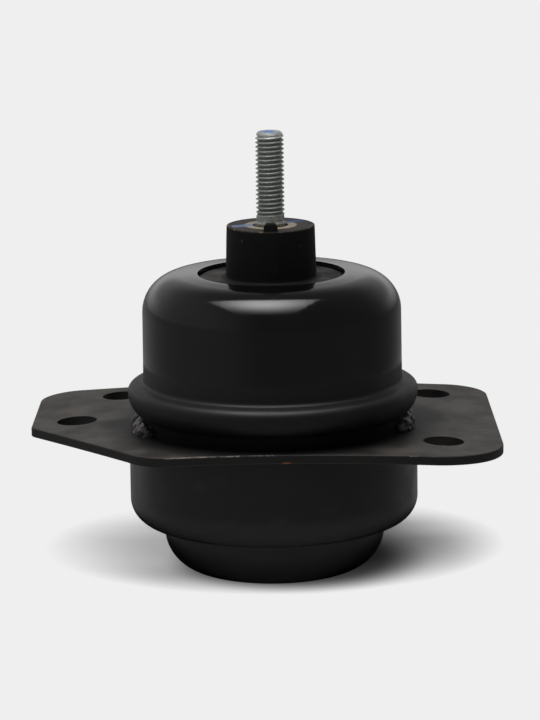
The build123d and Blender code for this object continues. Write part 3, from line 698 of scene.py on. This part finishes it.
def weld_bead(name, start, end, radius, pool, seed):
    """A bead swept round the collar, its section pulsing with the pools and dented by noise."""
    bpy.ops.object.select_all(action="DESELECT")
    bpy.ops.mesh.primitive_circle_add(vertices=bead_sides, radius=radius, location=(weld_circle_r, 0, weld_z),
                                      rotation=(pi / 2, 0, 0))
    bead = bpy.context.object
    bead.name = name
    bpy.ops.object.transform_apply(location=True, rotation=True, scale=True)
    bpy.ops.object.mode_set(mode="EDIT")
    bpy.ops.mesh.select_all(action="SELECT")
    bpy.ops.transform.rotate(value=-radians(start), orient_axis="Z", center_override=(0, 0, 0))
    bpy.ops.mesh.spin(steps=bead_steps, angle=radians(start - end), center=(0, 0, 0), axis=(0, 0, 1))
    bpy.ops.mesh.select_all(action="SELECT")
    bpy.ops.mesh.remove_doubles(threshold=0.001 * mm)
    bpy.ops.mesh.select_all(action="DESELECT")
    bpy.ops.mesh.select_non_manifold()
    bpy.ops.mesh.fill_holes(sides=0)
    bpy.ops.mesh.select_all(action="SELECT")
    bpy.ops.mesh.normals_make_consistent(inside=False)
    bpy.ops.object.mode_set(mode="OBJECT")
    for vertex in bead.data.vertices:
        x, y, z = vertex.co
        turn = degrees(atan2(y, x)) % 360
        if turn > 270 and start < 90:
            turn -= 360
        share = (turn - start) / (end - start)
        along = radians(turn - start) * weld_circle_r
        rounded = max(0.05, 1 - max(0.0, abs(share - 0.5) * 2 - end_share) ** 2 * end_fall)
        ripple = 1 + pool_rise * (along / pool - floor(along / pool))
        dent = 1 + dent_depth * noise.noise(Vector((x, y, z)) / dent_size + Vector((seed, 0, 0)))
        size = rounded ** 0.5 * ripple * dent
        out = hypot(x, y) - weld_circle_r
        r = weld_circle_r + out * size
        vertex.co = (r * cos(radians(turn)), r * sin(radians(turn)), weld_z + (z - weld_z) * size)
    soften = bead.modifiers.new("soften", "SUBSURF")
    soften.levels = 2
    soften.render_levels = 2
    bpy.ops.object.modifier_apply(modifier="soften")
    for vertex in bead.data.vertices:
        x, y, z = vertex.co
        crumple = noise.noise(Vector((x, y, z)) / crumple_size + Vector((0, seed, 0))) * crumple_depth
        push = Vector((x, y, 0)).normalized() * crumple + Vector((0, 0, crumple * 0.7))
        vertex.co += push
    smooth_shade(bead, 60)
    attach(bead, "root")
    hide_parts("collar_welds")
    return bead


right_bead = weld_bead("weld_right", -19, 21, 3.3 * mm, 3.6 * mm, 3)
left_bead = weld_bead("weld_left", 171.5, 204, 3.5 * mm, 4.6 * mm, 11)

# Wire weld, partly covered by the dip paint: dark, with bright crests where the paint ran off.
material, tree, shader, place = new_material("wire weld, thinly painted")
blotch = add(tree, "ShaderNodeTexNoise", {"Vector": place, "Scale": 1 / (3 * mm), "Detail": 3.0}).outputs["Fac"]
shown = add(tree, "ShaderNodeMapRange", {
    "Value": blotch, "From Min": 0.44, "From Max": 0.58, "To Max": 0.8,
}).outputs[0]
bead_shade = add(tree, "ShaderNodeMix", {
    0: shown, 6: colour("141214"), 7: colour("7C7578"),
}, data_type="RGBA").outputs[2]
tree.links.new(bead_shade, shader.inputs["Base Color"])
tree.links.new(shown, shader.inputs["Metallic"])
shader.inputs["Roughness"].default_value = 0.38
for bead in (right_bead, left_bead):
    bead.data.materials.clear()
    bead.data.materials.append(material)


# The flange plate: 3 mm steel plate, blanked and bowed, with a thin grey-brown phosphate coat that is worn
# bright along the front edge and sooty round the welds, with painted shade on its edges and a painted shadow of
# the bead round the collar.
plate_low, plate_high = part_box("flange_plate")
plate_thick = 3.0 * mm
bow_radius = 1201.5 * mm
rust_spot = (4.4 * mm, plate_low.y, plate_high.z - plate_thick)
soot_right_middle = (48 * mm, 11 * mm, 0)
soot_left_middle = (-46 * mm, 5 * mm, 0)
material, tree, shader, place = new_material("phosphated steel plate, worn")
flat = add(tree, "ShaderNodeVectorMath", {0: place, 1: (1, 1, 0)}, operation="MULTIPLY").outputs[0]
radius = add(tree, "ShaderNodeVectorMath", {0: flat}, operation="LENGTH").outputs["Value"]
parts = add(tree, "ShaderNodeSeparateXYZ", {0: place})
facing = add(tree, "ShaderNodeNewGeometry").outputs["Normal"]
facing = add(tree, "ShaderNodeSeparateXYZ", {0: facing}).outputs["Z"]
cloud = add(tree, "ShaderNodeTexNoise", {"Vector": place, "Scale": 1 / (12 * mm), "Detail": 8.0}).outputs["Fac"]
grit = add(tree, "ShaderNodeTexNoise", {"Vector": place, "Scale": 1 / (0.9 * mm), "Detail": 4.0}).outputs["Fac"]
stains = add(tree, "ShaderNodeMapRange", {"Value": cloud, "From Min": 0.36, "From Max": 0.64}).outputs[0]
coat = add(tree, "ShaderNodeMix", {
    0: stains, 6: colour("2B2725"), 7: colour("45413D"),
}, data_type="RGBA").outputs[2]
speckle = add(tree, "ShaderNodeMapRange", {
    "Value": grit, "From Min": 0.3, "From Max": 0.7, "To Min": 0.8, "To Max": 1.2,
}).outputs[0]
coat = add(tree, "ShaderNodeVectorMath", {0: coat, 1: speckle}, operation="MULTIPLY").outputs[0]
# Painted shade: faces that don't face up, the plate's edges, take a darker coat than the top.
lit_top_mask = add(tree, "ShaderNodeMapRange", {"Value": facing, "From Min": 0.5, "From Max": 0.9}).outputs[0]
coat = add(tree, "ShaderNodeMix", {0: lit_top_mask, 6: colour("1B1918"), 7: coat}, data_type="RGBA").outputs[2]
# A painted shadow of the bead: the coat darkens towards black round the collar, where the bead overhangs the
# plate.
painted_bead_shadow = add(tree, "ShaderNodeMath", {0: cloud, 1: 4 * mm, 2: radius}, operation="MULTIPLY_ADD").outputs[0]
painted_bead_shadow = add(tree, "ShaderNodeMapRange", {
    "Value": painted_bead_shadow, "From Min": 52 * mm, "From Max": 64 * mm, "To Min": 0.95, "To Max": 0.0,
}, interpolation_type="SMOOTHSTEP").outputs[0]
soot_right = add(tree, "ShaderNodeVectorMath", {
    0: flat, 1: soot_right_middle,
}, operation="DISTANCE").outputs["Value"]
soot_left = add(tree, "ShaderNodeVectorMath", {
    0: flat, 1: soot_left_middle,
}, operation="DISTANCE").outputs["Value"]
soot_reach = add(tree, "ShaderNodeMath", {0: soot_right, 1: soot_left}, operation="MINIMUM").outputs[0]
soot_reach = add(tree, "ShaderNodeMath", {
    0: cloud, 1: 7 * mm, 2: soot_reach,
}, operation="MULTIPLY_ADD").outputs[0]
soot_and_shade = add(tree, "ShaderNodeMapRange", {
    "Value": soot_reach, "From Min": 12 * mm, "From Max": 20 * mm, "To Min": 0.92, "To Max": 0.0,
}, interpolation_type="SMOOTHSTEP").outputs[0]
# The weld soot and the painted bead shadow together, on the plate's top only.
soot_and_shade = add(tree, "ShaderNodeMath", {0: soot_and_shade, 1: painted_bead_shadow}, operation="MAXIMUM").outputs[0]
soot_and_shade = add(tree, "ShaderNodeMath", {0: soot_and_shade, 1: lit_top_mask}, operation="MULTIPLY").outputs[0]
coat = add(tree, "ShaderNodeMix", {0: soot_and_shade, 6: coat, 7: colour("030303")}, data_type="RGBA").outputs[2]

# The front edge: rubbed bright along its top from the left corner to the middle, a thinner line along
# its lower edge, one rust spot and a few pale specks.
across = add(tree, "ShaderNodeMath", {
    0: parts.outputs["X"], 1: parts.outputs["X"],
}, operation="MULTIPLY").outputs[0]
above = add(tree, "ShaderNodeMath", {
    0: across, 1: 0.5 / bow_radius, 2: parts.outputs["Z"],
}, operation="MULTIPLY_ADD").outputs[0]
at_front = add(tree, "ShaderNodeMapRange", {
    "Value": parts.outputs["Y"], "From Min": plate_low.y + 0.45 * mm, "From Max": plate_low.y + 0.25 * mm,
}).outputs[0]
rub = add(tree, "ShaderNodeTexNoise", {"Vector": place, "Scale": 1 / (2.6 * mm), "Detail": 5.0}).outputs["Fac"]
rub_line = add(tree, "ShaderNodeMapRange", {
    "Value": above, "From Min": plate_high.z - 0.5 * mm, "From Max": plate_high.z - 0.3 * mm,
}).outputs[0]
rub_reach = add(tree, "ShaderNodeMapRange", {
    "Value": parts.outputs["X"], "From Min": -4 * mm, "From Max": 4 * mm, "To Min": 0.46, "To Max": 0.62,
}).outputs[0]
rubbed = add(tree, "ShaderNodeMath", {0: rub, 1: rub_reach}, operation="SUBTRACT").outputs[0]
rubbed = add(tree, "ShaderNodeMapRange", {"Value": rubbed, "From Min": 0.0, "From Max": 0.12}).outputs[0]
rubbed = add(tree, "ShaderNodeMath", {0: rubbed, 1: rub_line}, operation="MULTIPLY").outputs[0]
rubbed = add(tree, "ShaderNodeMath", {0: rubbed, 1: at_front}, operation="MULTIPLY").outputs[0]
coat = add(tree, "ShaderNodeMix", {0: rubbed, 6: coat, 7: colour("77716C")}, data_type="RGBA").outputs[2]
lower_line = add(tree, "ShaderNodeMapRange", {
    "Value": above, "From Min": plate_high.z - plate_thick + 0.3 * mm, "From Max": plate_high.z - plate_thick,
    "To Max": 0.3,
}).outputs[0]
lower_line = add(tree, "ShaderNodeMath", {0: lower_line, 1: at_front}, operation="MULTIPLY").outputs[0]
coat = add(tree, "ShaderNodeMix", {0: lower_line, 6: coat, 7: colour("4A4644")}, data_type="RGBA").outputs[2]
rust_reach = add(tree, "ShaderNodeVectorMath", {0: place, 1: rust_spot}, operation="SUBTRACT").outputs[0]
rust_reach = add(tree, "ShaderNodeVectorMath", {
    0: rust_reach, 1: (0.35, 1.0, 1.2),
}, operation="MULTIPLY").outputs[0]
rust_reach = add(tree, "ShaderNodeVectorMath", {0: rust_reach}, operation="LENGTH").outputs["Value"]
rust_reach = add(tree, "ShaderNodeMath", {
    0: rub, 1: 1.2 * mm, 2: rust_reach,
}, operation="MULTIPLY_ADD").outputs[0]
rust = add(tree, "ShaderNodeMapRange", {
    "Value": rust_reach, "From Min": 1.3 * mm, "From Max": 0.9 * mm,
}).outputs[0]
coat = add(tree, "ShaderNodeMix", {0: rust, 6: coat, 7: colour("74452C")}, data_type="RGBA").outputs[2]
tree.links.new(coat, shader.inputs["Base Color"])
shader.inputs["Roughness"].default_value = 0.58
shader.inputs["Specular IOR Level"].default_value = 0.3
bump = add(tree, "ShaderNodeBump", {"Height": grit, "Strength": 0.25, "Distance": 0.05 * mm}).outputs[0]
tree.links.new(bump, shader.inputs["Normal"])
nodes["flange_plate"].material_slots[0].material = material


# The lower housing: a drawn sleeve and a pressed cup in the same satin black dip paint, smudged by
# handling and by traces of the working fluid.
cup_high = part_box("bottom_cup")[1].z
material, tree, shader, place = new_material("satin black dip paint, smudged")
parts = add(tree, "ShaderNodeSeparateXYZ", {0: place})
smear = add(tree, "ShaderNodeTexNoise", {
    "Vector": place, "Scale": 1 / (14 * mm), "Detail": 6.0, "Distortion": 0.6,
}).outputs["Fac"]
speck = add(tree, "ShaderNodeTexNoise", {
    "Vector": place, "Scale": 1 / (1.3 * mm), "Detail": 3.0,
}).outputs["Fac"]
paint = add(tree, "ShaderNodeMix", {
    0: smear, 6: colour("08080A"), 7: colour("121112"),
}, data_type="RGBA").outputs[2]
smudges = add(tree, "ShaderNodeTexNoise", {
    "Vector": place, "Scale": 1 / (9 * mm), "Detail": 4.0, "Distortion": 0.4,
}).outputs["Fac"]
smudges = add(tree, "ShaderNodeMapRange", {
    "Value": smudges, "From Min": 0.56, "From Max": 0.68, "To Max": 0.7,
}).outputs[0]
paint = add(tree, "ShaderNodeMix", {0: smudges, 6: paint, 7: colour("221B1A")}, data_type="RGBA").outputs[2]
on_cup = add(tree, "ShaderNodeMapRange", {
    "Value": parts.outputs["Z"], "From Min": cup_high, "From Max": cup_high - 2 * mm, "To Max": 0.7,
}).outputs[0]
paint = add(tree, "ShaderNodeMix", {0: on_cup, 6: paint, 7: colour("1D1C1F")}, data_type="RGBA").outputs[2]
tree.links.new(paint, shader.inputs["Base Color"])
satin = add(tree, "ShaderNodeMapRange", {
    "Value": smear, "From Min": 0.3, "From Max": 0.7, "To Min": 0.34, "To Max": 0.5,
}).outputs[0]
tree.links.new(satin, shader.inputs["Roughness"])
bump = add(tree, "ShaderNodeBump", {"Height": speck, "Strength": 0.15, "Distance": 0.03 * mm}).outputs[0]
tree.links.new(bump, shader.inputs["Normal"])
for name in ("lower_sleeve", "bottom_cup"):
    nodes[name].material_slots[0].material = material


# The sealed inner pieces, which no view reaches: plain pressed steel, the cast track body, and the
# moulded rubber of the spring, seal, bellows and decoupler.
hidden = (
    ("plain pressed steel", "8C8C8B", 0.9, 0.4, 2.0,
     ("rebound_plate", "support_ring", "bellows_hoop", "upper_grid", "track_cover", "track_rivets")),
    ("die-cast aluminium", "B4B4B5", 0.9, 0.5, 1.5, ("track_body",)),
    ("moulded rubber, clean", "1A1918", 0.0, 0.6, 1.0,
     ("main_rubber", "plate_seal", "bellows", "decoupler_disc")),
)
for name, shade, metallic, roughness, grain_mm, owners in hidden:
    material, tree, shader, place = new_material(name)
    grain = add(tree, "ShaderNodeTexNoise", {
        "Vector": place, "Scale": 1 / (grain_mm * mm), "Detail": 4.0,
    }).outputs["Fac"]
    tint = add(tree, "ShaderNodeMapRange", {"Value": grain, "To Min": 0.8, "To Max": 1.2}).outputs[0]
    tone = add(tree, "ShaderNodeVectorMath", {0: colour(shade)[:3], 1: tint}, operation="MULTIPLY").outputs[0]
    tree.links.new(tone, shader.inputs["Base Color"])
    shader.inputs["Metallic"].default_value = metallic
    shader.inputs["Roughness"].default_value = roughness
    bump = add(tree, "ShaderNodeBump", {"Height": grain, "Strength": 0.2, "Distance": 0.05 * mm}).outputs[0]
    tree.links.new(bump, shader.inputs["Normal"])
    for owner in owners:
        nodes[owner].material_slots[0].material = material
